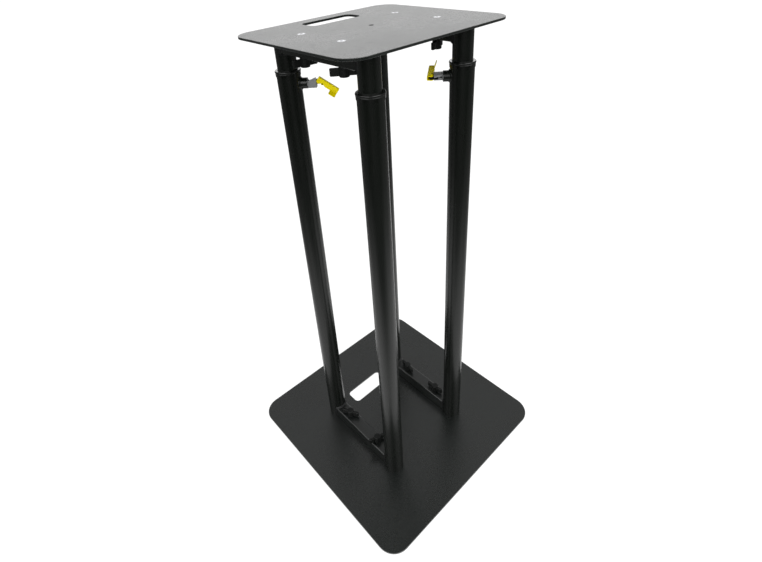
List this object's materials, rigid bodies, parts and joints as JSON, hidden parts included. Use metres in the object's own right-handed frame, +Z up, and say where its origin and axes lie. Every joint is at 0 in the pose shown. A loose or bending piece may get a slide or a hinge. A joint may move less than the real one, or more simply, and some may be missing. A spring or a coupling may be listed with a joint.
{
  "type": "loudspeaker podium stand",
  "caption": "Black steel podium stand for a loudspeaker: square base plate, telescopic legs in two frames, smaller head plate, folding yellow leg locks.",
  "frame": {"origin": "centre of the base plate's underside, on the floor", "axes": "+Z up; +Y toward the hand slots in both plates; +X across the two frames, from the left frame to the right frame"},
  "size_m": [0.5, 0.5, 0.97],
  "materials": {
    "powder_coat_plate": "black powder coat on steel sheet, fine texture, satin",
    "powder_coat_tube": "black powder coat on steel tube, smooth, semi-gloss",
    "guide_plastic": "moulded black nylon, glossy ring",
    "glide_plastic": "moulded black nylon",
    "wing_nut_plastic": "moulded black plastic, lightly grained",
    "insert_brass": "turned brass",
    "bright_zinc": "bright zinc-plated steel",
    "black_steel": "blackened steel",
    "cast_block": "die-cast grey metal, satin",
    "yellow_coat": "yellow powder coat on folded steel sheet, satin"
  },
  "bodies": {
    "base": {"base_plate": "powder_coat_plate", "base_screws": "bright_zinc", "outer_tube_left_back": "powder_coat_tube", "leg_guide_left_back": "guide_plastic", "outer_tube_left_front": "powder_coat_tube", "leg_guide_left_front": "guide_plastic", "outer_tube_right_front": "powder_coat_tube", "leg_guide_right_front": "guide_plastic", "outer_tube_right_back": "powder_coat_tube", "leg_guide_right_back": "guide_plastic", "base_bar_left": "powder_coat_plate", "base_bar_welds_left": "powder_coat_tube", "lock_boss_left": "powder_coat_tube", "base_bar_right": "powder_coat_plate", "base_bar_welds_right": "powder_coat_tube", "lock_boss_right": "powder_coat_tube"},
    "head": {"head_plate": "powder_coat_plate", "head_screws": "bright_zinc", "inner_tube_left_back": "powder_coat_tube", "leg_glide_left_back": "glide_plastic", "inner_tube_left_front": "powder_coat_tube", "leg_glide_left_front": "glide_plastic", "inner_tube_right_front": "powder_coat_tube", "leg_glide_right_front": "glide_plastic", "inner_tube_right_back": "powder_coat_tube", "leg_glide_right_back": "glide_plastic", "head_bar_left": "powder_coat_plate", "head_bar_welds_left": "powder_coat_tube", "head_bar_right": "powder_coat_plate", "head_bar_welds_right": "powder_coat_tube"},
    "base_nut_left_back": {"base_wing_nut_left_back": "wing_nut_plastic", "base_nut_insert_left_back": "insert_brass"},
    "head_nut_left_back": {"head_wing_nut_left_back": "wing_nut_plastic", "head_nut_insert_left_back": "insert_brass"},
    "base_nut_left_front": {"base_wing_nut_left_front": "wing_nut_plastic", "base_nut_insert_left_front": "insert_brass"},
    "head_nut_left_front": {"head_wing_nut_left_front": "wing_nut_plastic", "head_nut_insert_left_front": "insert_brass"},
    "base_nut_right_front": {"base_wing_nut_right_front": "wing_nut_plastic", "base_nut_insert_right_front": "insert_brass"},
    "head_nut_right_front": {"head_wing_nut_right_front": "wing_nut_plastic", "head_nut_insert_right_front": "insert_brass"},
    "base_nut_right_back": {"base_wing_nut_right_back": "wing_nut_plastic", "base_nut_insert_right_back": "insert_brass"},
    "head_nut_right_back": {"head_wing_nut_right_back": "wing_nut_plastic", "head_nut_insert_right_back": "insert_brass"},
    "lock_swivel_left": {"lock_block_left": "cast_block", "lock_spring_left": "bright_zinc"},
    "lock_pin_left": {"lock_plunger_left": "black_steel", "lock_shoe_left": "glide_plastic"},
    "lock_handle_left": {"lock_lever_left": "yellow_coat", "lock_rivet_left": "yellow_coat", "lock_cross_pin_left": "black_steel"},
    "lock_swivel_right": {"lock_block_right": "cast_block", "lock_spring_right": "bright_zinc"},
    "lock_pin_right": {"lock_plunger_right": "black_steel", "lock_shoe_right": "glide_plastic"},
    "lock_handle_right": {"lock_lever_right": "yellow_coat", "lock_rivet_right": "yellow_coat", "lock_cross_pin_right": "black_steel"}
  },
  "joints": [
    {"name": "head_height", "type": "slide", "parent": "base", "child": "head", "axis": [0, 0, 1], "range_m": [0, 0.65]},
    {"name": "base_nut_turn_left_back", "type": "hinge", "parent": "base", "child": "base_nut_left_back", "pos_m": [-0.104, 0.05, 0.043], "axis": [0, 0, 1], "continuous": true},
    {"name": "base_nut_turn_left_front", "type": "hinge", "parent": "base", "child": "base_nut_left_front", "pos_m": [-0.104, -0.05, 0.043], "axis": [0, 0, 1], "continuous": true},
    {"name": "base_nut_turn_right_front", "type": "hinge", "parent": "base", "child": "base_nut_right_front", "pos_m": [0.104, -0.05, 0.043], "axis": [0, 0, 1], "continuous": true},
    {"name": "base_nut_turn_right_back", "type": "hinge", "parent": "base", "child": "base_nut_right_back", "pos_m": [0.104, 0.05, 0.043], "axis": [0, 0, 1], "continuous": true},
    {"name": "head_nut_turn_left_back", "type": "hinge", "parent": "head", "child": "head_nut_left_back", "pos_m": [-0.104, 0.05, 0.927], "axis": [0, 0, 1], "continuous": true},
    {"name": "head_nut_turn_left_front", "type": "hinge", "parent": "head", "child": "head_nut_left_front", "pos_m": [-0.104, -0.05, 0.927], "axis": [0, 0, 1], "continuous": true},
    {"name": "head_nut_turn_right_front", "type": "hinge", "parent": "head", "child": "head_nut_right_front", "pos_m": [0.104, -0.05, 0.927], "axis": [0, 0, 1], "continuous": true},
    {"name": "head_nut_turn_right_back", "type": "hinge", "parent": "head", "child": "head_nut_right_back", "pos_m": [0.104, 0.05, 0.927], "axis": [0, 0, 1], "continuous": true},
    {"name": "lock_turn_left", "type": "hinge", "parent": "base", "child": "lock_swivel_left", "pos_m": [-0.08299, 0.08459, 0.8808], "axis": [0.7003, -0.7138, 0], "continuous": true},
    {"name": "lock_press_left", "type": "slide", "parent": "lock_swivel_left", "child": "lock_pin_left", "axis": [-0.7003, 0.7138, 0], "range_m": [-0.00037, 0.00068]},
    {"name": "lock_flip_left", "type": "hinge", "parent": "lock_pin_left", "child": "lock_handle_left", "pos_m": [-0.06711, 0.0684, 0.8828], "axis": [0.7138, 0.7003, 0], "range_deg": [-35.5, 64.5]},
    {"name": "lock_turn_right", "type": "hinge", "parent": "base", "child": "lock_swivel_right", "pos_m": [0.08299, -0.08459, 0.8808], "axis": [-0.7003, 0.7138, 0], "continuous": true},
    {"name": "lock_press_right", "type": "slide", "parent": "lock_swivel_right", "child": "lock_pin_right", "axis": [0.7003, -0.7138, 0], "range_m": [-0.00104, 0.00002]},
    {"name": "lock_flip_right", "type": "hinge", "parent": "lock_pin_right", "child": "lock_handle_right", "pos_m": [0.06617, -0.07024, 0.88038], "axis": [0.1484, 0.1456, -0.9781], "range_deg": [-98, 2]}
  ],
  "couplings": [
    {"joint": "lock_flip_left", "follows": "lock_press_left", "rad_per_m": 1652.3},
    {"joint": "lock_flip_right", "follows": "lock_press_right", "rad_per_m": 1652.3}
  ]
}
